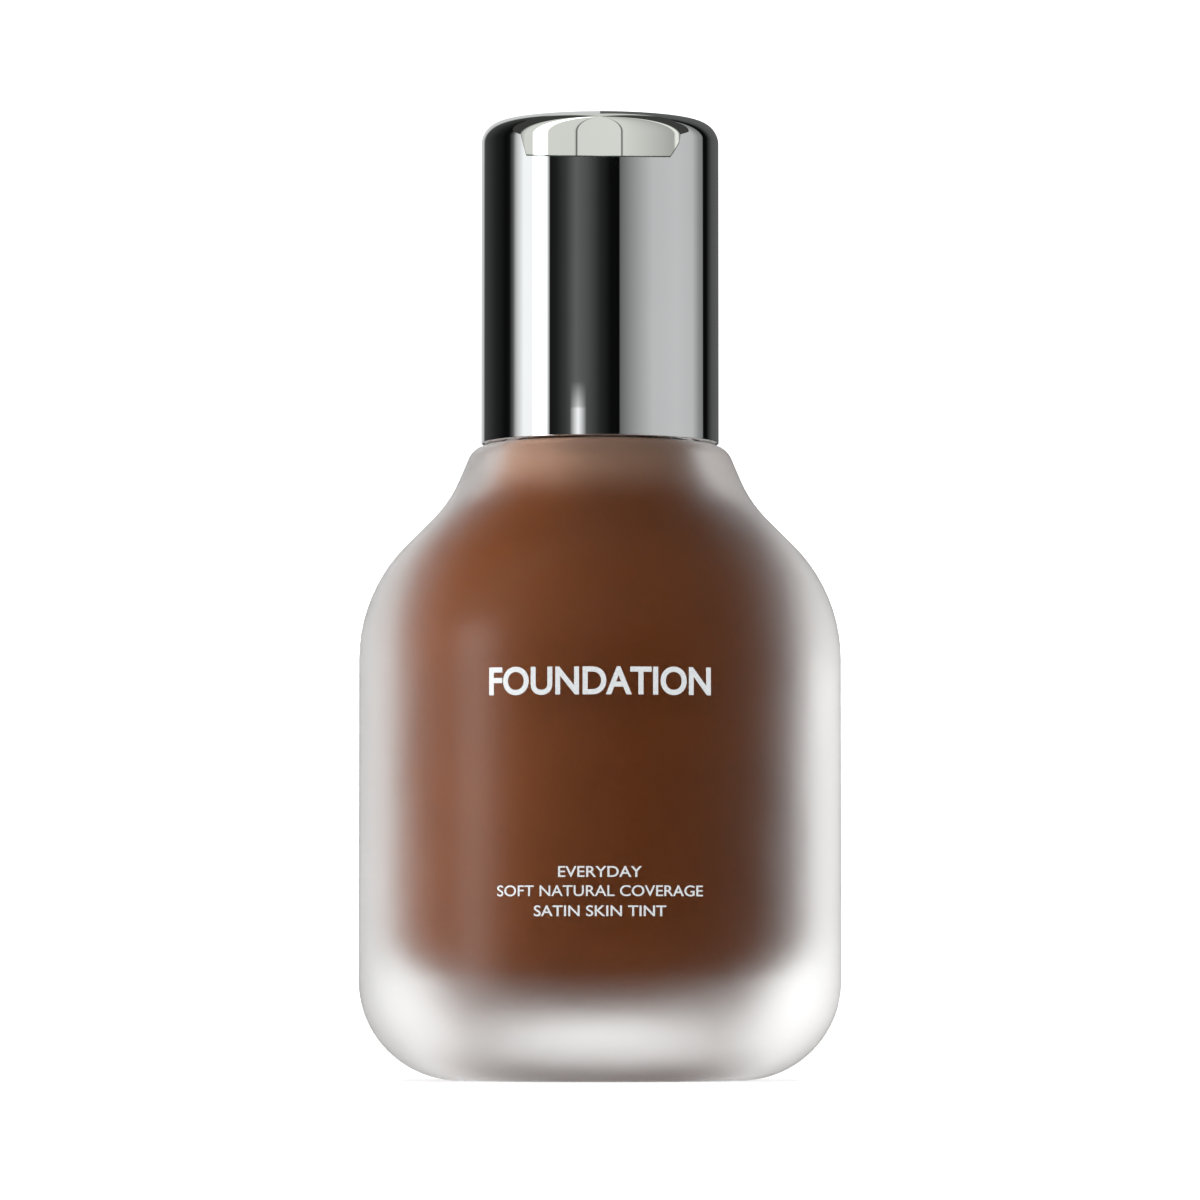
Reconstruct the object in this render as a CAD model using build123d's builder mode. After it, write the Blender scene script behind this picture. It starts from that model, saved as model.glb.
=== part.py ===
from build123d import *

import math
import os

os.makedirs("parts", exist_ok=True)

# A round 30 ml foundation bottle of thick frosted glass, its treatment pump and its metal overcap.
# Millimetres, +Z up, origin at the centre of the base, nozzle facing -Y.

# ---- driving dimensions ----

# glass, outside
body_r = 26.1
base_corner_r = 10.85
shoulder_z = 52.75  # where the straight wall and the 45 degree shoulder would meet
shoulder_arc = 17.4
waist_r, waist_z = 16.3, 62.55  # where the shoulder and the neck root would meet
waist_arc = 13.6
lip_r, ledge_z = 13.66, 68.75  # rounded edge of the ledge that the overcap stands above
lip_arc = 2.4
foot_r, foot_depth = 12.5, 0.7  # shallow hollow under the base, ringed by the foot

# glass, inside
cavity_r = 16.8
floor_z = 8.4
floor_corner_r = 8.5
cavity_shoulder_z, cavity_shoulder_arc = 51.5, 17.0
cavity_waist_r, cavity_waist_z, cavity_waist_arc = 8.8, 61.9, 8.0
throat_r, throat_z, throat_arc = 7.8, 66.6, 3.0
bore_r, bore_z, bore_arc = 5.1, 70.5, 2.0

# screw finish, 18 mm with 8 threads to the inch
neck_r = 7.85
thread_crest_r = 8.85
pitch = 3.175
mouth_z = 78.5
neck_thread_z, neck_thread_turns = 71.4, 1.5
neck_thread_root_w, neck_thread_crest_w = 2.0, 0.9
nut_thread_turns = 1.25
nut_thread_root_w, nut_thread_crest_w = 1.7, 0.8
thread_bury = 0.25  # how far a thread's root runs into its wall
thread_start_deg = 40
neck_root_fillet, mouth_fillet = 0.4, 0.8

# closure
nut_r, nut_bore_r = 9.75, 9.0
nut_thread_r = 8.15
nut_bottom_z, nut_top_z = 69.4, 81.5
nut_hole_r = 5.65
nut_to_flange = 0.05
sleeve_r, sleeve_bottom_z, sleeve_top_z = 10.3, 69.25, 81.9
sleeve_edge_r, sleeve_hole_gap = 0.45, 0.3

# pump, fixed pieces
flange_r = 7.8
gasket_t, flange_t = 0.9, 1.0
barrel_r, barrel_bore_r = 4.5, 3.6
chamber_floor_z = 60.3
gasket_hole_gap = 0.2
socket_r, socket_bottom_z = 2.4, 52.5
turret_r, turret_top_r, turret_top_z = 5.4, 4.7, 84.0
turret_shoulder_z, turret_edge_r = 82.1, 0.4
stem_hole_r = 1.97
seal_t, seal_lip_w, seal_web_w = 0.8, 0.3, 0.6
plug_depth = 2.6
retainer_t, retainer_hole_r = 1.2, 0.55
retainer_slot_r, retainer_slot_ring, retainer_slots = 0.32, 1.15, 4
ball_r, ball_lift, ball_gap = 1.25, 0.4, 0.05
ball_cage_r, ball_seat_depth = 1.6, 0.8
inlet_r = 0.8
tube_r, tube_bore_r, tube_end_z = 1.5, 0.9, 10.0
film = 0.3  # clearance between the liquid's solid and the pump

# pump, moving pieces
stem_r, stem_bore_r, stem_top_z, stem_edge = 1.9, 0.95, 93.2, 0.3
stem_neck_r, stem_neck_bore_r = 1.3, 0.8
stem_seat_depth = 0.6  # how far the stem's foot stands in the piston seat
stem_step_rise, stem_bore_rise = 0.75, 1.2  # above the piston's top
port_r, port_rise = 0.4, 0.9
piston_r, piston_hole_r = 3.56, 1.36
piston_bottom_z, piston_top_z = 73.3, 76.1
piston_hub_w, piston_web_w, piston_web_depth = 0.9, 1.1, 0.7
piston_lip_w, piston_lip_h, piston_waist_w = 0.35, 0.3, 0.2
seat_r, seat_bottom_z, seat_top_z = 2.8, 71.6, 73.25
seat_chamfer, seat_spigot_gap, seat_spigot_depth = 0.4, 0.3, 1.6
wire_r, spring_r, spring_coils = 0.225, 2.3, 7

# pump head
head_bottom_z, head_top_z = 86.8, 96.8
head_r, head_wall = 8.3, 0.6
head_socket_r, head_post_r, head_ring_bore_r = 1.95, 3.1, 6.3
head_post_rise, head_roof_rise = 1.8, 4.9  # of the post's foot and the roof beside it, above the head's edge
head_gallery_rise, head_gallery_top = 0.2, 1.6  # above the stem's top
head_edge_r, core_chamfer, head_eave = 0.9, 0.5, 1.0
dish_r, dish_depth = 70.0, 0.3
nozzle_z, nozzle_r, nozzle_bore_r, nozzle_tip = 93.9, 1.7, 0.6, 9.9
nozzle_seat_y, nozzle_edge_r = 4.0, 0.35

# overcap
cap_r, cap_bottom_z, cap_top_z = 12.9, 68.95, 104.0
cap_corner_r = 2.4
cap_wall = 0.7
liner_wall, liner_top_t, liner_corner_r = 1.2, 1.7, 1.0
liner_rise = 0.2  # of the liner's edge above the shell's
rib_r, rib_w, rib_count, rib_bury = 10.4, 1.0, 16, 0.5
rib_bottom_z, rib_top_z = 71.0, 81.0

# ---- heights that follow ----

flange_bottom_z = mouth_z + gasket_t
flange_top_z = flange_bottom_z + flange_t
seal_bottom_z = flange_top_z - plug_depth - seal_t
spring_bottom_z = chamber_floor_z + retainer_t
cone_top_z, cone_bottom_z = chamber_floor_z - 1.6, chamber_floor_z - 3.4
tube_top_z = chamber_floor_z - 4.3
liquid_z = 67.5


def cavity_outline():
    """The line of the glass's inner wall, from the middle of the floor up to the mouth."""
    return FilletPolyline(
        (0, floor_z),
        (cavity_r, floor_z),
        (cavity_r, cavity_shoulder_z),
        (cavity_waist_r, cavity_waist_z),
        (throat_r, throat_z),
        (bore_r, bore_z),
        (bore_r, mouth_z),
        radius=[floor_corner_r, cavity_shoulder_arc, cavity_waist_arc, throat_arc, bore_arc],
    )


def thread_solid(root_r, crest_r, root_w, crest_w, start_z, turns):
    """A helical ridge of trapezoid section from root_r to crest_r, which may point in or out."""
    with BuildPart(mode=Mode.PRIVATE) as ridge:
        with BuildLine(Plane.XY.rotated((0, 0, thread_start_deg))):
            path = Helix(pitch=pitch, height=pitch * turns, radius=root_r, center=(0, 0, start_z))
        with BuildSketch(Plane.XZ.rotated((0, 0, thread_start_deg))):
            with BuildLine():
                Polyline(
                    (root_r, start_z - root_w / 2),
                    (crest_r, start_z - crest_w / 2),
                    (crest_r, start_z + crest_w / 2),
                    (root_r, start_z + root_w / 2),
                    close=True,
                )
            make_face()
        sweep(path=path, is_frenet=True)
    return ridge.part


# ---- bottle ----

with BuildPart() as glass_bottle:
    with BuildSketch(Plane.XZ):
        with BuildLine():
            foot = RadiusArc((0, foot_depth), (foot_r, 0), foot_r**2 / (2 * foot_depth))
            outside = FilletPolyline(
                foot @ 1,
                (body_r, 0),
                (body_r, shoulder_z),
                (waist_r, waist_z),
                (lip_r, ledge_z),
                (neck_r, ledge_z),
                (neck_r, mouth_z),
                (bore_r, mouth_z),
                radius=[base_corner_r, shoulder_arc, waist_arc, lip_arc, neck_root_fillet, mouth_fillet],
            )
            inside = cavity_outline()
            Line(inside @ 0, foot @ 0)
        make_face()
    revolve(axis=Axis.Z)
    add(
        thread_solid(
            neck_r - thread_bury,
            thread_crest_r,
            neck_thread_root_w,
            neck_thread_crest_w,
            neck_thread_z,
            neck_thread_turns,
        )
    )

with BuildPart() as foundation_liquid:
    with BuildSketch(Plane.XZ):
        with BuildLine():
            wall = cavity_outline()
            Polyline(wall @ 1, (0, mouth_z), wall @ 0)
        make_face()
    revolve(axis=Axis.Z)
    split(bisect_by=Plane.XY.offset(liquid_z), keep=Keep.BOTTOM)
    # room for the pump: barrel, tube socket and dip tube, each with a film of clearance
    with BuildSketch(Plane.XY.offset(cone_bottom_z - film)):
        Circle(barrel_r + film)
    extrude(amount=liquid_z, mode=Mode.SUBTRACT)
    with BuildSketch(Plane.XY.offset(socket_bottom_z - film)):
        Circle(socket_r + film)
    extrude(amount=liquid_z, mode=Mode.SUBTRACT)
    with BuildSketch(Plane.XY.offset(tube_end_z - film)):
        Circle(tube_r + film)
    extrude(amount=liquid_z, mode=Mode.SUBTRACT)

# ---- closure ----

with BuildPart() as closure_nut:
    with BuildSketch(Plane.XY.offset(nut_bottom_z)):
        Circle(nut_r)
        Circle(nut_bore_r, mode=Mode.SUBTRACT)
    extrude(amount=nut_top_z - nut_bottom_z)
    with BuildSketch(Plane.XY.offset(flange_top_z + nut_to_flange)):
        Circle(nut_bore_r + thread_bury)
        Circle(nut_hole_r, mode=Mode.SUBTRACT)
    extrude(amount=nut_top_z - flange_top_z - nut_to_flange)
    add(
        thread_solid(
            nut_bore_r + thread_bury,
            nut_thread_r,
            nut_thread_root_w,
            nut_thread_crest_w,
            neck_thread_z + pitch / 2,
            nut_thread_turns,
        )
    )

with BuildPart() as collar_sleeve:
    with BuildSketch(Plane.XY.offset(sleeve_bottom_z)):
        Circle(sleeve_r)
    extrude(amount=sleeve_top_z - sleeve_bottom_z)
    fillet(faces().sort_by(Axis.Z)[-1].edges(), radius=sleeve_edge_r)
    with BuildSketch(Plane.XY.offset(sleeve_bottom_z)):
        Circle(nut_r)
    extrude(amount=nut_top_z - sleeve_bottom_z, mode=Mode.SUBTRACT)
    with BuildSketch(Plane.XY.offset(nut_top_z)):
        Circle(nut_hole_r + sleeve_hole_gap)
    extrude(amount=sleeve_top_z - nut_top_z, mode=Mode.SUBTRACT)

# ---- pump, fixed pieces ----

with BuildPart() as neck_gasket:
    with BuildSketch(Plane.XY.offset(mouth_z)):
        Circle(flange_r)
        Circle(barrel_r + gasket_hole_gap, mode=Mode.SUBTRACT)
    extrude(amount=gasket_t)

ball_z = chamber_floor_z - ball_gap - ball_lift - ball_r
seat_mouth_z = ball_z - ball_r * math.sqrt(2) + ball_cage_r - ball_gap / 2
with BuildPart() as pump_housing:
    with BuildSketch(Plane.XZ):
        with BuildLine():
            Polyline(
                (barrel_bore_r, flange_top_z),
                (flange_r, flange_top_z),
                (flange_r, flange_bottom_z),
                (barrel_r, flange_bottom_z),
                (barrel_r, cone_top_z),
                (socket_r, cone_bottom_z),
                (socket_r, socket_bottom_z),
                (tube_r, socket_bottom_z),
                (tube_r, tube_top_z),
                (inlet_r, tube_top_z),
                (inlet_r, seat_mouth_z - ball_seat_depth),
                (ball_cage_r, seat_mouth_z),
                (ball_cage_r, chamber_floor_z),
                (barrel_bore_r, chamber_floor_z),
                close=True,
            )
        make_face()
    revolve(axis=Axis.Z)

with BuildPart() as housing_cap:
    with BuildSketch(Plane.XZ):
        with BuildLine():
            Polyline(
                (stem_hole_r, seal_bottom_z + seal_t),
                (barrel_bore_r, seal_bottom_z + seal_t),
                (barrel_bore_r, flange_top_z),
                (turret_r, flange_top_z),
                (turret_r, turret_shoulder_z),
                (turret_top_r, turret_top_z),
                (stem_hole_r, turret_top_z),
                close=True,
            )
        make_face()
    revolve(axis=Axis.Z)
    fillet(edges().group_by(Axis.Z)[-1].sort_by(SortBy.RADIUS)[-1], radius=turret_edge_r)

with BuildPart() as stem_seal:
    with BuildSketch(Plane.XZ):
        with BuildLine():
            Polyline(
                (stem_hole_r, seal_bottom_z),
                (stem_hole_r + seal_lip_w, seal_bottom_z),
                (stem_hole_r + seal_web_w, seal_bottom_z + seal_t / 2),
                (barrel_bore_r, seal_bottom_z + seal_t / 2),
                (barrel_bore_r, seal_bottom_z + seal_t),
                (stem_hole_r, seal_bottom_z + seal_t),
                close=True,
            )
        make_face()
    revolve(axis=Axis.Z)

with BuildPart() as ball_retainer:
    with BuildSketch(Plane.XY.offset(chamber_floor_z)):
        Circle(barrel_bore_r)
        Circle(retainer_hole_r, mode=Mode.SUBTRACT)
        with PolarLocations(retainer_slot_ring, retainer_slots):
            Circle(retainer_slot_r, mode=Mode.SUBTRACT)
    extrude(amount=retainer_t)

with BuildPart() as check_ball:
    with Locations((0, 0, ball_z)):
        Sphere(ball_r)

with BuildPart() as return_spring:
    with BuildLine():
        coil = Helix(
            pitch=(seat_bottom_z - spring_bottom_z - 2 * wire_r) / spring_coils,
            height=seat_bottom_z - spring_bottom_z - 2 * wire_r,
            radius=spring_r,
            center=(0, 0, spring_bottom_z + wire_r),
        )
    with BuildSketch(Plane(origin=coil @ 0, z_dir=coil % 0)):
        Circle(wire_r)
    sweep(path=coil, is_frenet=True)
    # ends ground flat to the seats
    split(bisect_by=Plane.XY.offset(spring_bottom_z), keep=Keep.TOP)
    split(bisect_by=Plane.XY.offset(seat_bottom_z), keep=Keep.BOTTOM)

with BuildPart() as dip_tube:
    with BuildSketch(Plane.XY.offset(tube_end_z)):
        Circle(tube_r)
        Circle(tube_bore_r, mode=Mode.SUBTRACT)
    extrude(amount=tube_top_z - tube_end_z)
    slant = Plane(origin=(0, 0, tube_end_z + tube_r), z_dir=(1, 0, 1))
    split(bisect_by=slant, keep=Keep.TOP)

# ---- pump, moving pieces ----

with BuildPart() as piston_stem:
    with BuildSketch(Plane.XZ):
        with BuildLine():
            Polyline(
                (0, seat_bottom_z + stem_seat_depth),
                (stem_neck_r, seat_bottom_z + stem_seat_depth),
                (stem_neck_r, piston_top_z + stem_step_rise),
                (stem_r, piston_top_z + stem_step_rise),
                (stem_r, stem_top_z - stem_edge),
                (stem_r - stem_edge, stem_top_z),
                (0, stem_top_z),
                close=True,
            )
        make_face()
    revolve(axis=Axis.Z)
    port_z = piston_bottom_z + port_rise
    with BuildSketch(Plane.XY.offset(port_z - port_r)):
        Circle(stem_neck_bore_r)
    extrude(amount=stem_top_z, mode=Mode.SUBTRACT)
    with BuildSketch(Plane.XY.offset(piston_top_z + stem_bore_rise)):
        Circle(stem_bore_r)
    extrude(amount=stem_top_z, mode=Mode.SUBTRACT)
    with BuildSketch(Plane.YZ):
        with Locations((0, port_z)):
            Circle(port_r)
    extrude(amount=stem_r, both=True, mode=Mode.SUBTRACT)

with BuildPart() as piston_seat:
    with BuildSketch(Plane.XY.offset(seat_bottom_z)):
        Circle(seat_r)
    extrude(amount=seat_top_z - seat_bottom_z)
    chamfer(faces().sort_by(Axis.Z)[-1].edges(), length=seat_chamfer)
    with BuildSketch(Plane.XY.offset(seat_bottom_z)):
        Circle(spring_r - wire_r - seat_spigot_gap)
    extrude(amount=-seat_spigot_depth)
    with BuildSketch(Plane.XY.offset(seat_bottom_z + stem_seat_depth)):
        Circle(stem_neck_r)
    extrude(amount=seat_top_z, mode=Mode.SUBTRACT)

with BuildPart() as piston:
    with BuildSketch(Plane.XZ):
        with BuildLine():
            Polyline(
                (piston_hole_r, piston_bottom_z),
                (piston_hole_r + piston_hub_w, piston_bottom_z),
                (piston_hole_r + piston_web_w, piston_bottom_z + piston_web_depth),
                (piston_r - piston_lip_w, piston_bottom_z),
                (piston_r, piston_bottom_z + piston_lip_h),
                (piston_r - piston_waist_w, (piston_bottom_z + piston_top_z) / 2),
                (piston_r, piston_top_z - piston_lip_h),
                (piston_r - piston_lip_w, piston_top_z),
                (piston_hole_r + piston_web_w, piston_top_z - piston_web_depth),
                (piston_hole_r + piston_hub_w, piston_top_z),
                (piston_hole_r, piston_top_z),
                close=True,
            )
        make_face()
    revolve(axis=Axis.Z)

# ---- pump head ----

with BuildPart() as actuator_core:
    core_r = head_r - head_wall
    core_top_z = head_top_z - head_wall
    with BuildSketch(Plane.XZ):
        with BuildLine():
            Polyline(
                (0, core_top_z),
                (0, stem_top_z + head_gallery_top),
                (stem_bore_r, stem_top_z + head_gallery_top),
                (stem_bore_r, stem_top_z + head_gallery_rise),
                (head_socket_r, stem_top_z + head_gallery_rise),
                (head_socket_r, head_bottom_z + head_post_rise),
                (head_post_r, head_bottom_z + head_post_rise),
                (head_post_r, head_bottom_z + head_roof_rise),
                (head_ring_bore_r, head_bottom_z + head_roof_rise),
                (head_ring_bore_r, head_bottom_z),
                (core_r, head_bottom_z),
                (core_r, core_top_z - core_chamfer),
                (core_r - core_chamfer, core_top_z),
                close=True,
            )
        make_face()
    revolve(axis=Axis.Z)
    # outlet channel from the stem to the nozzle, and the nozzle's own pocket
    with BuildSketch(Plane.XZ):
        with Locations((0, nozzle_z)):
            Circle(nozzle_bore_r)
    extrude(amount=head_r, mode=Mode.SUBTRACT)
    with BuildSketch(Plane.XZ.offset(nozzle_seat_y)):
        with Locations((0, nozzle_z)):
            Circle(nozzle_r)
    extrude(amount=core_r, mode=Mode.SUBTRACT)

with BuildPart() as actuator_shell:
    with BuildSketch(Plane.XY.offset(head_bottom_z)):
        Circle(head_r)
    extrude(amount=head_top_z - head_bottom_z)
    fillet(faces().sort_by(Axis.Z)[-1].edges(), radius=head_edge_r)
    with BuildSketch(Plane.XZ):
        with BuildLine():
            Polyline(
                (0, head_bottom_z - head_eave),
                (core_r, head_bottom_z - head_eave),
                (core_r, core_top_z - core_chamfer),
                (core_r - core_chamfer, core_top_z),
                (0, core_top_z),
                close=True,
            )
        make_face()
    revolve(axis=Axis.Z, mode=Mode.SUBTRACT)
    # finger dish, shallower than the wall
    with Locations((0, 0, head_top_z + dish_r - dish_depth)):
        Sphere(dish_r, mode=Mode.SUBTRACT)
    with BuildSketch(Plane.XZ.offset(nozzle_seat_y)):
        with Locations((0, nozzle_z)):
            Circle(nozzle_r)
    extrude(amount=head_r, mode=Mode.SUBTRACT)

with BuildPart() as nozzle_insert:
    with BuildSketch(Plane.XZ.offset(nozzle_seat_y)):
        with Locations((0, nozzle_z)):
            Circle(nozzle_r)
    extrude(amount=nozzle_tip - nozzle_seat_y)
    fillet(faces().sort_by(Axis.Y)[0].edges(), radius=nozzle_edge_r)
    with BuildSketch(Plane.XZ.offset(nozzle_seat_y)):
        with Locations((0, nozzle_z)):
            Circle(nozzle_bore_r)
    extrude(amount=nozzle_tip, mode=Mode.SUBTRACT)

# ---- overcap ----

with BuildPart() as overcap_shell:
    with BuildSketch(Plane.XZ):
        with BuildLine():
            outer = FilletPolyline(
                (cap_r, cap_bottom_z),
                (cap_r, cap_top_z),
                (0, cap_top_z),
                radius=[cap_corner_r],
            )
            inner = FilletPolyline(
                (cap_r - cap_wall, cap_bottom_z),
                (cap_r - cap_wall, cap_top_z - cap_wall),
                (0, cap_top_z - cap_wall),
                radius=[cap_corner_r - cap_wall],
            )
            Line(outer @ 0, inner @ 0)
            Line(outer @ 1, inner @ 1)
        make_face()
    revolve(axis=Axis.Z)

with BuildPart() as overcap_liner:
    liner_r = cap_r - cap_wall
    liner_top_z = cap_top_z - cap_wall
    with BuildSketch(Plane.XZ):
        with BuildLine():
            back = FilletPolyline(
                (liner_r, cap_bottom_z + liner_rise),
                (liner_r, liner_top_z),
                (0, liner_top_z),
                radius=[cap_corner_r - cap_wall],
            )
            face = FilletPolyline(
                (liner_r - liner_wall, cap_bottom_z + liner_rise),
                (liner_r - liner_wall, liner_top_z - liner_top_t),
                (0, liner_top_z - liner_top_t),
                radius=[liner_corner_r],
            )
            Line(back @ 0, face @ 0)
            Line(back @ 1, face @ 1)
        make_face()
    revolve(axis=Axis.Z)
    # ribs that grip the collar
    with BuildSketch(Plane.XY.offset(rib_bottom_z)):
        with PolarLocations((rib_r + liner_r - rib_bury) / 2, rib_count):
            Rectangle(liner_r - rib_r - rib_bury, rib_w)
        Circle(rib_r, mode=Mode.SUBTRACT)
    extrude(amount=rib_top_z - rib_bottom_z)

# ---- write each piece ----

pieces = {
    "glass_bottle": glass_bottle,
    "foundation_liquid": foundation_liquid,
    "closure_nut": closure_nut,
    "collar_sleeve": collar_sleeve,
    "neck_gasket": neck_gasket,
    "pump_housing": pump_housing,
    "housing_cap": housing_cap,
    "stem_seal": stem_seal,
    "ball_retainer": ball_retainer,
    "check_ball": check_ball,
    "return_spring": return_spring,
    "dip_tube": dip_tube,
    "piston_stem": piston_stem,
    "piston_seat": piston_seat,
    "piston": piston,
    "actuator_core": actuator_core,
    "actuator_shell": actuator_shell,
    "nozzle_insert": nozzle_insert,
    "overcap_shell": overcap_shell,
    "overcap_liner": overcap_liner,
}
for name, piece in pieces.items():
    piece.part.label = name
    export_step(piece.part, f"parts/{name}.step")
    print(name, len(piece.part.solids()), round(piece.part.volume, 1))
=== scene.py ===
import math

import bmesh
import bpy
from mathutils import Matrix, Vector


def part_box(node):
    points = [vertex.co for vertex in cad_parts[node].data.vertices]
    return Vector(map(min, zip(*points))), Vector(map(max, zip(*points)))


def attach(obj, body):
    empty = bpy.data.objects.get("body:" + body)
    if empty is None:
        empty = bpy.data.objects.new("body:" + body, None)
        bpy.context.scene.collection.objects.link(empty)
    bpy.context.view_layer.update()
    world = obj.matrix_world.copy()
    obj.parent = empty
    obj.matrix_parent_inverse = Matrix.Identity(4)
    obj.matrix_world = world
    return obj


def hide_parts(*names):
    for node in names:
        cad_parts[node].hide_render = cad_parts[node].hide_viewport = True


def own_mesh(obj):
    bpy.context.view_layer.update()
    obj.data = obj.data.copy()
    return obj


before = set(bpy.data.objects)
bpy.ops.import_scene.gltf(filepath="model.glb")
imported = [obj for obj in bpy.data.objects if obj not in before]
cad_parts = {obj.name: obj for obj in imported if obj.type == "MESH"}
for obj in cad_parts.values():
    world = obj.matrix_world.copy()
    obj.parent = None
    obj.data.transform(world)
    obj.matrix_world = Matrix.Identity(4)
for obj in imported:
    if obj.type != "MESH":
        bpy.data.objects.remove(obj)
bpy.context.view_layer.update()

scene = bpy.context.scene
print("frame loaded,", len(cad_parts), "nodes")


def roundedLine(points, radii, steps=8):
    # an open outline of straight runs whose inner corners are arcs of the given radii
    line = [Vector(points[0])]
    for before, corner, after, radius in zip(points, points[1:], points[2:], radii):
        corner = Vector(corner)
        back = (Vector(before) - corner).normalized()
        ahead = (Vector(after) - corner).normalized()
        half = back.angle(ahead) / 2
        reach = radius / math.tan(half)
        centre = corner + (back + ahead).normalized() * (radius / math.sin(half))
        start, end = corner + back * reach - centre, corner + ahead * reach - centre
        turn = math.pi - 2 * half
        count = max(2, round(steps * turn / (math.pi / 2)))
        for step in range(count + 1):
            t = step / count
            swung = start * math.sin((1 - t) * turn) + end * math.sin(t * turn)
            line.append(centre + swung / math.sin(turn))
    line.append(Vector(points[-1]))
    return line


def densified(line, longest):
    # straight runs longer than longest are divided, so that shading stays even
    dense = [line[0]]
    for a, b in zip(line, line[1:]):
        parts = max(1, math.ceil((b - a).length / longest))
        dense += [a.lerp(b, k / parts) for k in range(1, parts + 1)]
    return dense


def spinLine(bm, line, segments, slot=0):
    # one outline of (radius, height) points spun round Z, with its faces in one material slot
    verts = [bm.verts.new((p[0], 0, p[1])) for p in line]
    edges = [bm.edges.new(pair) for pair in zip(verts, verts[1:])]
    old = set(bm.faces)
    bmesh.ops.spin(bm, geom=verts + edges, cent=(0, 0, 0), axis=(0, 0, 1), angle=2 * math.pi,
                   steps=segments, use_merge=True, use_duplicate=False)
    for face in bm.faces:
        if face not in old:
            face.material_index = slot


def toPiece(bm, name, materials, sharp=40):
    # the bmesh as an object at the origin, with merged doubles and faces pointing out
    bmesh.ops.remove_doubles(bm, verts=bm.verts, dist=1e-7)
    bmesh.ops.dissolve_degenerate(bm, dist=1e-8, edges=bm.edges)
    bmesh.ops.recalc_face_normals(bm, faces=bm.faces)
    mesh = bpy.data.meshes.new(name)
    bm.to_mesh(mesh)
    bm.free()
    for face in mesh.polygons:
        face.use_smooth = True
    mesh.set_sharp_from_angle(angle=math.radians(sharp))
    piece = bpy.data.objects.new(name, mesh)
    scene.collection.objects.link(piece)
    for material in materials:
        mesh.materials.append(material)
    return piece


def lathe(name, line, material, segments=128, sharp=40):
    bm = bmesh.new()
    spinLine(bm, line, segments)
    return toPiece(bm, name, [material], sharp)


def radiusOf(node):
    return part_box(node)[1][0]


def baseOf(node):
    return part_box(node)[0][2]


def topOf(node):
    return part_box(node)[1][2]


class Wire:
    # a socket, or a number, that Python's own operators join with Math nodes
    def __init__(self, graph, socket):
        self.graph, self.socket = graph, socket

    def math(self, operation, *others):
        return self.graph.math(operation, self, *others)

    def __add__(self, other):
        return self.math("ADD", other)

    def __radd__(self, other):
        return self.math("ADD", other)

    def __sub__(self, other):
        return self.math("SUBTRACT", other)

    def __rsub__(self, other):
        return self.graph.math("SUBTRACT", other, self)

    def __mul__(self, other):
        return self.math("MULTIPLY", other)

    def __rmul__(self, other):
        return self.math("MULTIPLY", other)

    def __truediv__(self, other):
        return self.math("DIVIDE", other)

    def __gt__(self, other):
        return self.math("GREATER_THAN", other)

    def __lt__(self, other):
        return self.math("LESS_THAN", other)


class Graph:
    # one material's node tree
    def __init__(self, name):
        self.material = bpy.data.materials.new(name)
        self.material.use_nodes = True
        self.tree = self.material.node_tree
        self.tree.nodes.clear()
        self.output = self.tree.nodes.new("ShaderNodeOutputMaterial")

    def plug(self, socket, value):
        if isinstance(value, Wire):
            self.tree.links.new(value.socket, socket)
        elif isinstance(value, (tuple, list)) and socket.type == "RGBA" and len(value) == 3:
            socket.default_value = (*value, 1)
        else:
            socket.default_value = value

    def node(self, kind, settings=None, inputs=None, out=0):
        node = self.tree.nodes.new("ShaderNode" + kind)
        for key, value in (settings or {}).items():
            if key == "stops":
                self.fillRamp(node.color_ramp, value)
            else:
                setattr(node, key, value)
        for key, value in (inputs or {}).items():
            self.plug(node.inputs[key], value)
        return Wire(self, node.outputs[out])

    def fillRamp(self, ramp, stops):
        while len(ramp.elements) < len(stops):
            ramp.elements.new(1)
        for element, (place, colour) in zip(ramp.elements, stops):
            element.position = place
            element.color = (*colour, 1) if isinstance(colour, tuple) else (colour, colour, colour, 1)

    def math(self, operation, *values):
        node = self.tree.nodes.new("ShaderNodeMath")
        node.operation = operation
        for socket, value in zip(node.inputs, values):
            self.plug(socket, value)
        return Wire(self, node.outputs[0])

    def place(self):
        return self.node("TexCoord", out=3)

    def noise(self, scale, detail=3, rough=0.5, at=None, **more):
        return self.node("TexNoise", more, {"Vector": at or self.place(), "Scale": scale, "Detail": detail,
                                            "Roughness": rough})

    def mix(self, factor, a, b):
        return self.node("Mix", {"data_type": "RGBA"}, {0: factor, 6: a, 7: b}, out=2)

    def bump(self, height, strength, distance):
        return self.node("Bump", None, {"Strength": strength, "Distance": distance, "Height": height})

    def surface(self, **inputs):
        named = {key.replace("_", " "): value for key, value in inputs.items()}
        self.finish(self.node("BsdfPrincipled", None, named))
        return self.material

    def finish(self, shader):
        self.tree.links.new(shader.socket, self.output.inputs["Surface"])


# what each finish is made of
frosting = {
    "tint": (0.985, 0.99, 0.985),
    "rough": (0.37, 0.43),  # etched skin, least and most
    "grain": 0.00002,  # depth of the etch
    "index": 1.5,
    "glare": 0.12,  # the etching's reflection straight on, against polished glass
    "sheen": 0.12, "sheenRough": 0.35,  # a thin second reflection, which takes the soft box on the left
}


def frostedGlass():
    g = Graph("frosted_glass")
    cloud = g.noise(90, detail=4)
    low, high = frosting["rough"]
    etch = g.noise(9000, detail=2)
    return g.surface(Base_Color=frosting["tint"], Roughness=cloud * (high - low) + low,
                     IOR=frosting["index"], Transmission_Weight=1.0,
                     Specular_Tint=(frosting["glare"],) * 3, Coat_Weight=frosting["sheen"],
                     Coat_Roughness=frosting["sheenRough"], Coat_IOR=frosting["index"],
                     Normal=g.bump(etch, 0.25, frosting["grain"]))


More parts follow.
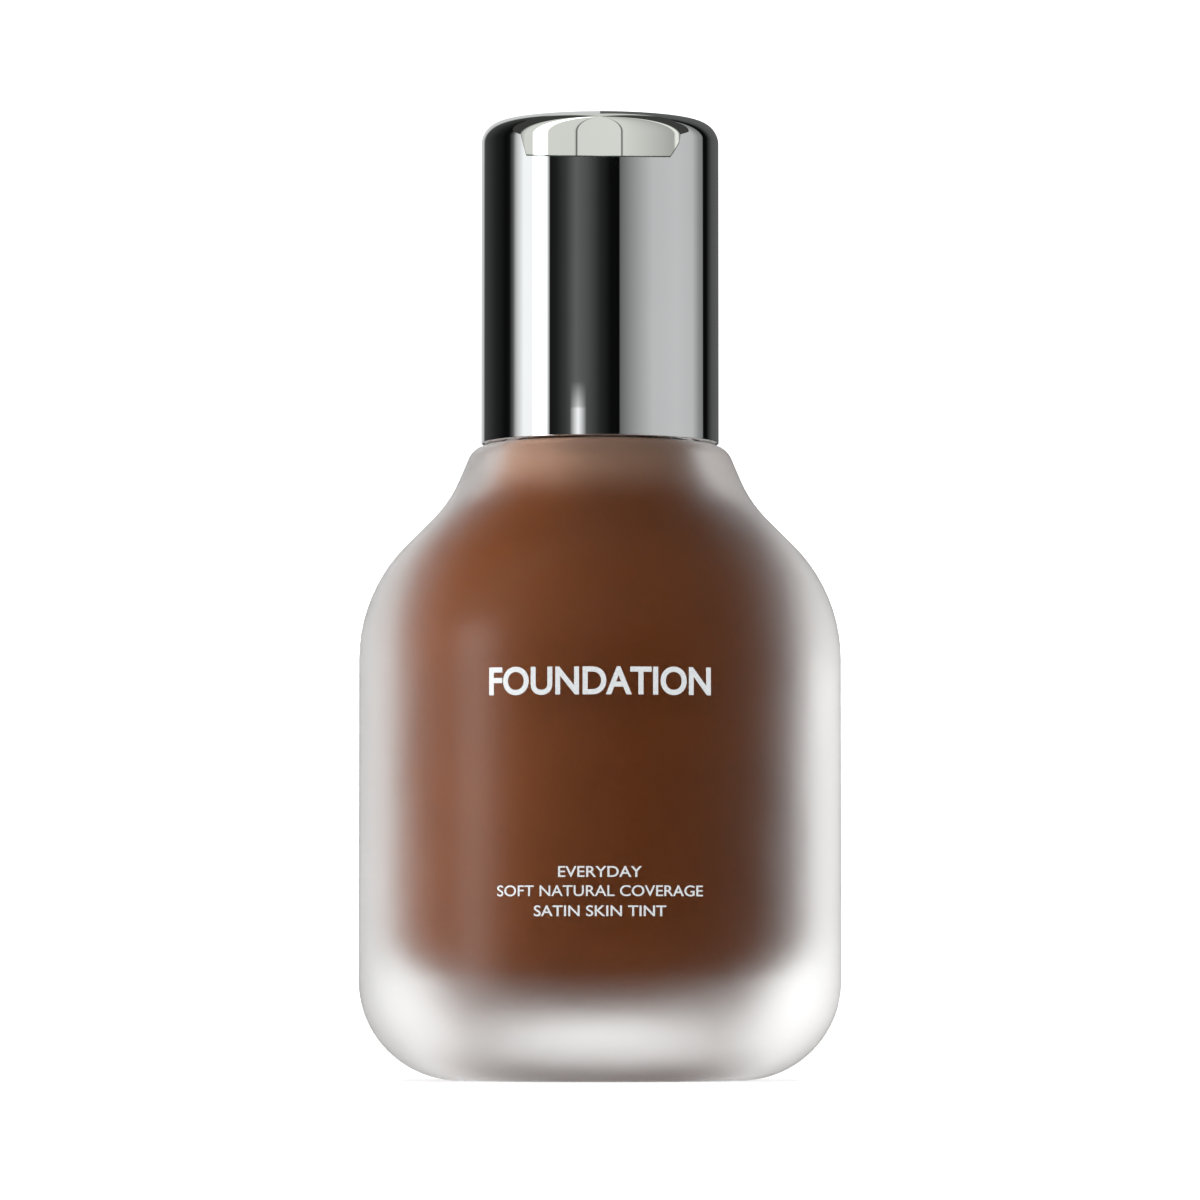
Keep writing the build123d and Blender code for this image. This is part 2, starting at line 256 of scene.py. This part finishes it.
def innerGlass(name, index):
    g = Graph(name)
    ripple = g.noise(120, detail=2)
    return g.surface(Base_Color=frosting["tint"], Roughness=ripple * 0.03 + 0.01, IOR=index,
                     Transmission_Weight=1.0)


liquid = {
    "deep": (0.080, 0.0200, 0.0030),
    "pale": (0.096, 0.0250, 0.0042),
    "paintedNeckLight": (0.22, 0.125, 0.085), "paintedLightFrom": 0.0610, "paintedLightOver": 0.0050,  # painted highlight: a paler colour higher in the neck, standing in for light that falls in from above
    "soft": 0.3,  # how gently the paler part starts and ends
    "index": 1.4,
}


def foundationFill():
    g = Graph("foundation")
    swirl = g.noise(60, detail=5, rough=0.6)
    blend = g.node("ValToRGB", {"stops": [(0.35, liquid["deep"]), (0.68, liquid["pale"])]}, {"Fac": swirl})
    height = g.node("SeparateXYZ", None, {"Vector": g.place()}, out=2)
    # painted highlight: the liquid is drawn paler from this height up into the neck, in place of light from
    # above
    climb = (height - liquid["paintedLightFrom"]) / liquid["paintedLightOver"]
    paintedNeckLight = g.math("SMOOTH_MIN", g.math("SMOOTH_MAX", climb, 0, liquid["soft"]), 1, liquid["soft"])
    blend = g.mix(paintedNeckLight, blend, liquid["paintedNeckLight"])
    return g.surface(Base_Color=blend, Roughness=swirl * 0.1 + 0.4, Specular_IOR_Level=0.0)


chrome = {
    "colour": (0.91, 0.935, 0.935),
    "rough": 0.006,
}


def polishedChrome():
    g = Graph("polished_chrome")
    at = g.place()
    smear = g.noise(45, detail=4, at=at)
    speck = g.noise(14000, detail=1, at=at)
    tone = g.node("ValToRGB", {"stops": [(0.3, tuple(c * 0.95 for c in chrome["colour"])),
                                         (0.7, chrome["colour"])]}, {"Fac": smear})
    return g.surface(Base_Color=tone, Metallic=1.0,
                     Roughness=smear * 0.004 + speck * 0.004 + chrome["rough"])


def mouldedPlastic(name, colour, rough=0.38, clear=0.0):
    g = Graph(name)
    cloud = g.noise(140, detail=3)
    grain = g.noise(5000, detail=2)
    tone = g.node("ValToRGB", {"stops": [(0.3, tuple(c * 0.965 for c in colour)), (0.7, colour)]},
                  {"Fac": cloud})
    return g.surface(Base_Color=tone, Roughness=cloud * 0.12 + (rough - 0.06), IOR=1.48,
                     Transmission_Weight=clear, Normal=g.bump(grain, 0.15, 0.00002))


def satinMetal(name, colour, rough=0.28, across=1.0):
    g = Graph(name)
    fine = g.node("Mapping", None, {"Vector": g.place(), "Scale": (1, 1, across)})
    line = g.noise(2200, detail=3, at=fine)
    tone = g.node("ValToRGB", {"stops": [(0.3, tuple(c * 0.93 for c in colour)), (0.7, colour)]},
                  {"Fac": line})
    return g.surface(Base_Color=tone, Metallic=1.0, Roughness=line * 0.14 + (rough - 0.07),
                     Normal=g.bump(line, 0.1, 0.00002))


def silverFoil():
    g = Graph("silver_foil")
    fleck = g.noise(6000, detail=3)
    tone = g.node("ValToRGB", {"stops": [(0.25, (0.42, 0.44, 0.45)), (0.75, (0.58, 0.60, 0.61))]},
                  {"Fac": fleck})
    return g.surface(Base_Color=tone, Metallic=0.25, Roughness=fleck * 0.2 + 0.32,
                     Normal=g.bump(fleck, 0.2, 0.00002))


def foamRubber():
    g = Graph("foam_washer")
    cell = g.node("TexVoronoi", None, {"Vector": g.place(), "Scale": 3500})
    tone = g.node("ValToRGB", {"stops": [(0.0, (0.44, 0.44, 0.43)), (0.5, (0.56, 0.56, 0.55))]},
                  {"Fac": cell})
    return g.surface(Base_Color=tone, Roughness=cell * 0.2 + 0.7, Normal=g.bump(cell, 0.4, 0.00005))


tones = {
    "white": (0.56, 0.56, 0.555),
    "natural": (0.56, 0.57, 0.56),
    "tube": (0.88, 0.90, 0.90),
    "spring": (0.60, 0.60, 0.61),
    "ball": (0.75, 0.76, 0.77),
    "aluminium": (0.80, 0.81, 0.82),
}

frostedFinish, clearFinish = frostedGlass(), innerGlass("clear_glass", frosting["index"])
wettedFinish = innerGlass("wetted_glass", frosting["index"] / liquid["index"])  # where it meets the liquid
fillFinish, chromeFinish, foilFinish = foundationFill(), polishedChrome(), silverFoil()
whiteFinish = mouldedPlastic("white_plastic", tones["white"])
naturalFinish = mouldedPlastic("natural_plastic", tones["natural"], 0.42, 0.25)
tubeFinish = mouldedPlastic("clear_tube", tones["tube"], 0.2, 0.85)
springFinish = satinMetal("spring_steel", tones["spring"], 0.3)
ballFinish = satinMetal("bearing_steel", tones["ball"], 0.12)
aluminiumFinish = satinMetal("satin_aluminium", tones["aluminium"], 0.26, 0.02)
foamFinish = foamRubber()
print("materials made")


# the thick bottle, outside and in, and the liquid in it
bottle = {
    "baseCorner": 0.01085,
    "shoulderZ": 0.05275, "shoulderArc": 0.0174,
    "waist": (0.0163, 0.06255), "waistArc": 0.0136,
    "lip": (0.01366, 0.06875), "lipArc": 0.0024,
    "neckR": 0.00785,
    "foot": (0.0125, 0.0007),
    "cavityR": 0.0168, "floorZ": 0.0084, "floorArc": 0.0085,
    "cavityShoulderZ": 0.0515, "cavityShoulderArc": 0.017,
    "cavityWaist": (0.0088, 0.0619), "cavityWaistArc": 0.008,
    "throat": (0.0078, 0.0666), "throatArc": 0.003,
    "bore": (0.0051, 0.0705), "boreArc": 0.002,
    "lipEdge": 0.0004, "mouthEdge": 0.0008,
    "film": 0.00003,  # clear liquid between the glass and the fill's own surface
    "segments": 160,
    "wellR": 0.0048, "wellGap": 0.0003,  # the hole in the liquid round the pump and its tube
    "dip": 0.0004, "rimDip": 0.0002, "rimIn": 0.96,  # the liquid's top, a little under its level
    "run": 0.0025,  # the longest straight facet of an outline
}


def cavityLine(grow=0.0):
    b = bottle
    points = [(0, b["floorZ"] - grow), (b["cavityR"] + grow, b["floorZ"] - grow),
              (b["cavityR"] + grow, b["cavityShoulderZ"]),
              (b["cavityWaist"][0] + grow, b["cavityWaist"][1]), (b["throat"][0] + grow, b["throat"][1]),
              (b["bore"][0] + grow, b["bore"][1]), (b["bore"][0] + grow, topOf("glass_bottle"))]
    radii = [b[key] for key in ("floorArc", "cavityShoulderArc", "cavityWaistArc", "throatArc", "boreArc")]
    return densified(roundedLine(points, radii, 16), b["run"])


def makeGlass():
    b = bottle
    bodyR, mouthZ = radiusOf("glass_bottle"), topOf("glass_bottle")
    footR, footDepth = b["foot"]
    domeR = footR**2 / (2 * footDepth)
    dome = [Vector((footR * k / 8, footDepth - domeR + math.sqrt(domeR**2 - (footR * k / 8) ** 2)))
            for k in range(8)]
    outside = roundedLine(
        [(footR, 0), (bodyR, 0), (bodyR, b["shoulderZ"]), b["waist"], b["lip"],
         (b["neckR"], b["lip"][1]), (b["neckR"], mouthZ), (b["bore"][0], mouthZ)],
        [b["baseCorner"], b["shoulderArc"], b["waistArc"], b["lipArc"], b["lipEdge"], b["mouthEdge"]], 20)
    bm = bmesh.new()
    spinLine(bm, densified(dome + outside, b["run"]), b["segments"], 0)
    inside, level = cavityLine(), topOf("foundation_liquid")
    top = min(k for k, p in enumerate(inside) if p[1] > level)
    spinLine(bm, inside[:top + 1], b["segments"], 1)
    spinLine(bm, inside[top:], b["segments"], 2)
    piece = toPiece(bm, "bottleGlass", [frostedFinish, wettedFinish, clearFinish])
    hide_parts("glass_bottle")
    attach(piece, "bottle")


def makeFill():
    level, gap = topOf("foundation_liquid"), bottle["wellGap"]
    pumpR, pumpFoot = bottle["wellR"], baseOf("pump_housing") - gap
    tubeR, tubeFoot = radiusOf("dip_tube") + gap, baseOf("dip_tube") - gap
    still = level - bottle["dip"]
    wet = [p for p in cavityLine(-bottle["film"]) if p[1] < still]
    rimR = wet[-1][0]
    surface = [Vector((rimR, level - bottle["rimDip"])), Vector((rimR * bottle["rimIn"], still)),
               Vector((pumpR, still)), Vector((pumpR, pumpFoot)), Vector((tubeR, pumpFoot)),
               Vector((tubeR, tubeFoot)), Vector((0, tubeFoot))]
    piece = lathe("foundationFill", wet + surface, fillFinish, bottle["segments"])
    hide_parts("foundation_liquid")
    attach(piece, "bottle")


makeGlass()
makeFill()
print("glass and fill made")


# the drawn metal cap over the pump
overcap = {
    "corner": 0.0024, "wall": 0.0007, "edge": 0.00012,
    "segments": 160,
}


def makeOvercap():
    c = overcap
    outR, low, high = radiusOf("overcap_shell"), baseOf("overcap_shell"), topOf("overcap_shell")
    inR = outR - c["wall"]
    outer = roundedLine([(inR + 0.0001, low), (outR, low), (outR, high), (0, high)],
                        [c["edge"], c["corner"]], 24)
    inner = roundedLine([(0, high - c["wall"]), (inR, high - c["wall"]), (inR, low), (inR + 0.0001, low)],
                        [c["corner"] - c["wall"], 0.00005], 8)
    shell = lathe("capShell", densified(outer, 0.003) + densified(inner, 0.006)[:-1], chromeFinish,
                  c["segments"])
    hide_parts("overcap_shell")
    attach(shell, "overcap")


makeOvercap()
print("overcap made")


# the words printed on the front
lettering = {
    "proud": 0.00004, "sunk": 0.00005, "facet": 0.0005,
    # words, centre, height, width, weight
    "lines": [("FOUNDATION", 0.0421, 0.00300, 0.0241, 0.00007),
              ("EVERYDAY", 0.0221, 0.00115, 0.0088, 0.00001),
              ("SOFT NATURAL COVERAGE", 0.0201, 0.00115, 0.0222, 0.000006),
              ("SATIN SKIN TINT", 0.0180, 0.00115, 0.0140, 0.00001)],
}


def letterMesh(words, weight):
    curve = bpy.data.curves.new("letters", "FONT")
    curve.body, curve.size, curve.align_x, curve.align_y = words, 1.0, "CENTER", "CENTER"
    curve.offset, curve.resolution_u = weight, 6
    holder = bpy.data.objects.new("letters", curve)
    scene.collection.objects.link(holder)
    mesh = bpy.data.meshes.new_from_object(holder.evaluated_get(bpy.context.evaluated_depsgraph_get()))
    bpy.data.objects.remove(holder)
    return mesh


def makePrint():
    bodyR = radiusOf("glass_bottle")
    bm = bmesh.new()
    for words, centreZ, height, width, weight in lettering["lines"]:
        row = bmesh.new()
        row.from_mesh(letterMesh(words, weight / height))
        bmesh.ops.remove_doubles(row, verts=row.verts, dist=1e-5)
        spans = [[f(v.co[axis] for v in row.verts) for f in (min, max)] for axis in (0, 1)]
        scaleX, scaleY = width / (spans[0][1] - spans[0][0]), height / (spans[1][1] - spans[1][0])
        middle = Vector([(low + high) / 2 for low, high in spans] + [0])
        bmesh.ops.translate(row, verts=row.verts, vec=-middle)
        bmesh.ops.scale(row, verts=row.verts, vec=(scaleX, scaleY, 1))
        cut = -width / 2
        while cut < width / 2:  # narrow facets, so that the letters follow the round glass
            cut += lettering["facet"]
            bmesh.ops.bisect_plane(row, geom=row.verts[:] + row.edges[:] + row.faces[:], dist=1e-8,
                                   plane_co=(cut, 0, 0), plane_no=(1, 0, 0))
        face = bmesh.ops.extrude_face_region(row, geom=row.faces[:])
        top = [v for v in face["geom"] if isinstance(v, bmesh.types.BMVert)]
        bmesh.ops.translate(row, verts=top, vec=(0, 0, 1))
        for v in row.verts:
            radius = bodyR + (lettering["proud"] if v.co.z > 0.5 else -lettering["sunk"])
            angle = v.co.x / bodyR
            v.co = (radius * math.sin(angle), -radius * math.cos(angle), centreZ + v.co.y)
        flat = bpy.data.meshes.new("row")
        row.to_mesh(flat)
        row.free()
        bm.from_mesh(flat)
    piece = toPiece(bm, "frontPrint", [foilFinish], 30)
    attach(piece, "bottle")


makePrint()
print("print made")


# the pieces that stay as they are get finishes of their own
for finish, nodes in {
    whiteFinish: ("closure_nut", "housing_cap", "piston_stem", "actuator_core", "nozzle_insert",
                  "overcap_liner"),
    naturalFinish: ("pump_housing", "stem_seal", "ball_retainer", "piston_seat", "piston"),
    chromeFinish: ("collar_sleeve",),
    aluminiumFinish: ("actuator_shell",),
    tubeFinish: ("dip_tube",),
    springFinish: ("return_spring",),
    ballFinish: ("check_ball",),
    foamFinish: ("neck_gasket",),
}.items():
    for node in nodes:
        for slot in bpy.data.objects[node].material_slots:
            slot.material = finish

spring, springFoot = bpy.data.objects["return_spring"], baseOf("return_spring")
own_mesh(spring)
print("carried-over pieces finished")


# floor, sky, mirrored surroundings, soft boxes and camera
studio = {
    "sky": 1.48, "floorGlow": 0.75,
    "tentR": 1.5, "tentZ": 0.085,
    "band": 0.0015,  # dark band under the tent's roof, as a sine of height above the horizon
    "flare": 6, "flareAt": -60, "flareWide": 9,  # how much brighter than white the left strip's middle is
    "spikeAt": -21, "spikeWide": 8, "spikeTop": 0.080, "spikeFade": 110,  # the small glint low on the cap
    "lower": -0.06, "under": -0.1,  # a dark band between these heights, with the strips again under it
    "card": 0.04, "cardR": 0.62, "cardTop": 0.7, "cardParts": 50,
    "boxFar": 0.8, "boxAim": 0.045,
    "key": 15, "front": 2.4, "sheen": 5,
}


def makeFloor():
    bm = bmesh.new()
    bmesh.ops.create_grid(bm, x_segments=1, y_segments=1, size=8)
    g = Graph("pale_floor")
    fleck = g.noise(3, detail=2)
    tone = g.node("ValToRGB", {"stops": [(0.3, (0.34, 0.34, 0.34)), (0.7, (0.36, 0.36, 0.36))]},
                  {"Fac": fleck})
    g.surface(Base_Color=tone, Roughness=fleck * 0.1 + 0.8, Specular_IOR_Level=0.0,
              Emission_Color=(1, 1, 1), Emission_Strength=studio["floorGlow"])
    floor = toPiece(bm, "floor", [g.material])
    floor.visible_glossy = False


def makeSky():
    world = bpy.data.worlds.new("sky")
    world.use_nodes = True
    world.node_tree.nodes["Background"].inputs["Color"].default_value = (1, 1, 1, 1)
    world.node_tree.nodes["Background"].inputs["Strength"].default_value = studio["sky"]
    scene.world = world


def makeTent():
    # seen only in reflections: strips of light and dark round the bottle, and a pale roof
    bm = bmesh.new()
    bmesh.ops.create_uvsphere(bm, u_segments=48, v_segments=24, radius=studio["tentR"])
    bmesh.ops.translate(bm, verts=bm.verts, vec=(0, 0, studio["tentZ"]))
    g = Graph("tent")
    way = g.node("VectorMath", {"operation": "SUBTRACT"}, {0: g.place(), 1: (0, 0, studio["tentZ"])})
    way = g.node("VectorMath", {"operation": "NORMALIZE"}, {0: way})
    split = g.tree.nodes.new("ShaderNodeSeparateXYZ")
    g.tree.links.new(way.socket, split.inputs[0])
    x, y, z = (Wire(g, split.outputs[k]) for k in range(3))
    turn = g.math("ARCTAN2", x, 0 - y) / (2 * math.pi) + 0.5  # 0.5 faces the camera, more to the right

    def stops(pairs):
        return [(0.5 + degrees / 360, level) for degrees, level in pairs]

    strips = g.node("ValToRGB", {"stops": stops([
        (-158, 0.62), (-150, 0.06), (-140, 0.045), (-121, 0.016), (-104, 0.0035), (-98, 0.006),
        (-93, 0.10), (-88, 0.55), (-79, 1.0), (-66, 1.0), (-58, 0.70), (-50.6, 0.52), (-49.6, 0.008),
        (-42, 0.014), (-33, 0.043), (-23, 0.12), (-13, 0.085), (0, 0.022), (10, 0.004), (18.7, 0.003),
        (19.7, 0.14), (30, 0.28), (40, 0.40), (52, 0.53), (80, 0.57), (101, 0.52), (112, 0.27), (118, 0.22),
        (119, 0.002), (127, 0.004), (140, 0.085), (158, 0.11)])}, {"Fac": turn})
    roof = g.node("ValToRGB", {"stops": stops([
        (-180, 0.62), (-152, 0.6), (-146, 0.05), (-84, 0.045), (-82, 0.5), (-79, 0.6), (-78, 0.7),
        (-24, 0.68), (-23.4, 0.05), (-22, 0.05),
        (-21.5, 0.7), (20, 0.72), (20.5, 0.05), (22, 0.05), (22.5, 0.7), (60, 0.5), (77, 0.4), (78, 0.9),
        (82, 0.9), (84, 0.05), (146, 0.05), (152, 0.6), (180, 0.62)])}, {"Fac": turn})
    roof = g.node("Mix", {"data_type": "RGBA", "blend_type": "MULTIPLY"},
                  {0: 1.0, 6: roof, 7: (1.0, 1.0, 0.93)}, out=2)
    edge = g.node("ValToRGB", {"stops": stops([
        (-180, 0.9), (-118, 0.75), (-100, 0.42), (-84, 0.16), (-76, 0.1345), (-40, 0.1318), (0, 0.1303),
        (40, 0.131), (72, 0.1325), (84, 0.15), (100, 0.35), (116, 0.75), (180, 0.9)])}, {"Fac": turn})
    light = g.mix(z > edge - studio["band"], strips, (0.035, 0.045, 0.042))
    light = g.mix(z > edge, light, roof)
    light = g.mix(z < studio["lower"], light, (0.12, 0.12, 0.12))
    light = g.mix(z < studio["under"], light, strips)

    def near(bearing, wide):
        off = g.math("ABSOLUTE", turn - (0.5 + bearing / 360))
        return g.math("MAXIMUM", 1 - off * (360 / wide), 0)

    glow = near(studio["flareAt"], studio["flareWide"]) * studio["flare"] + 1
    fade = g.math("MINIMUM", g.math("MAXIMUM", (studio["spikeTop"] - z) * studio["spikeFade"], 0), 1)
    light = g.mix(near(studio["spikeAt"], studio["spikeWide"]) * fade, light, (1.0, 1.0, 1.0))
    g.finish(g.node("Emission", None, {"Color": light, "Strength": glow}))
    tent = toPiece(bm, "tent", [g.material])
    tent.visible_camera = tent.visible_diffuse = tent.visible_transmission = False
    tent.visible_volume_scatter = tent.visible_shadow = False


def makeCard(name, first, last, stops):
    # a curved grey card that only light through the glass meets, from one bearing to another
    bm = bmesh.new()
    radius, count = studio["cardR"], studio["cardParts"]
    rows = [[bm.verts.new((radius * math.sin(math.radians(first + (last - first) * k / count)),
                           -radius * math.cos(math.radians(first + (last - first) * k / count)), height))
             for k in range(count + 1)] for height in (0.0, studio["cardTop"])]
    for k in range(count):
        bm.faces.new((rows[0][k], rows[0][k + 1], rows[1][k + 1], rows[1][k]))
    g = Graph(name)
    across = g.node("SeparateXYZ", None, {"Vector": g.place()}, out=0) / (2 * radius) + 0.5
    shade = g.node("ValToRGB", {"stops": stops}, {"Fac": across})
    g.finish(g.node("Emission", None, {"Color": shade, "Strength": studio["sky"]}))
    card = toPiece(bm, name, [g.material])
    card.visible_camera = card.visible_diffuse = card.visible_glossy = False
    card.visible_volume_scatter = card.visible_shadow = False


def aimed(place, target):
    return (Vector(target) - Vector(place)).to_track_quat("-Z", "Y").to_euler()


def makeLight(name, bearing, rise, width, height, power, pieces):
    # a soft box that lights only the named pieces, and passes the glass by unless it is one of them
    turn, distance = math.radians(bearing), studio["boxFar"]
    lamp = bpy.data.lights.new(name, "AREA")
    lamp.shape, lamp.size, lamp.size_y = "RECTANGLE", width, height
    lamp.energy = power
    light = bpy.data.objects.new(name, lamp)
    light.location = (distance * math.sin(turn), -distance * math.cos(turn), rise)
    light.rotation_euler = aimed(light.location, (0, 0, studio["boxAim"]))
    light.visible_glossy = "bottleGlass" in pieces
    light.visible_transmission = False
    scene.collection.objects.link(light)
    lighted = bpy.data.collections.new(name + "Lights")
    for piece in pieces:
        lighted.objects.link(bpy.data.objects[piece])
    light.light_linking.receiver_collection = lighted
    if "bottleGlass" not in pieces:
        spared = bpy.data.collections.new(name + "Spares")
        spared.objects.link(bpy.data.objects["bottleGlass"])
        spared.collection_objects[0].light_linking.link_state = "EXCLUDE"
        light.light_linking.blocker_collection = spared


def makeCamera():
    view = {"far": 0.76, "height": 0.009, "target": 0.052, "lens": 210.5}
    lens = bpy.data.cameras.new("camera")
    lens.lens, lens.sensor_width = view["lens"], 36
    lens.clip_start, lens.clip_end = 0.01, 30
    camera = bpy.data.objects.new("camera", lens)
    camera.location = (0, -view["far"], view["height"])
    camera.rotation_euler = aimed(camera.location, (0, 0, view["target"]))
    scene.collection.objects.link(camera)
    scene.camera = camera


makeFloor()
makeSky()
makeTent()
makeCard("rightCard", -30, 95, [(0.42, 1.0), (0.7, studio["card"])])
makeLight("keyLight", -97, 0.10, 0.25, 0.5, studio["key"], ("foundationFill", "frontPrint"))
makeLight("frontLight", 0, 0.14, 0.3, 0.3, studio["front"], ("foundationFill", "frontPrint"))
makeLight("sheenLight", -61, 0.08, 0.14, 0.4, studio["sheen"], ("bottleGlass",))
makeCamera()
scene.view_settings.view_transform = "Standard"
print("studio set")
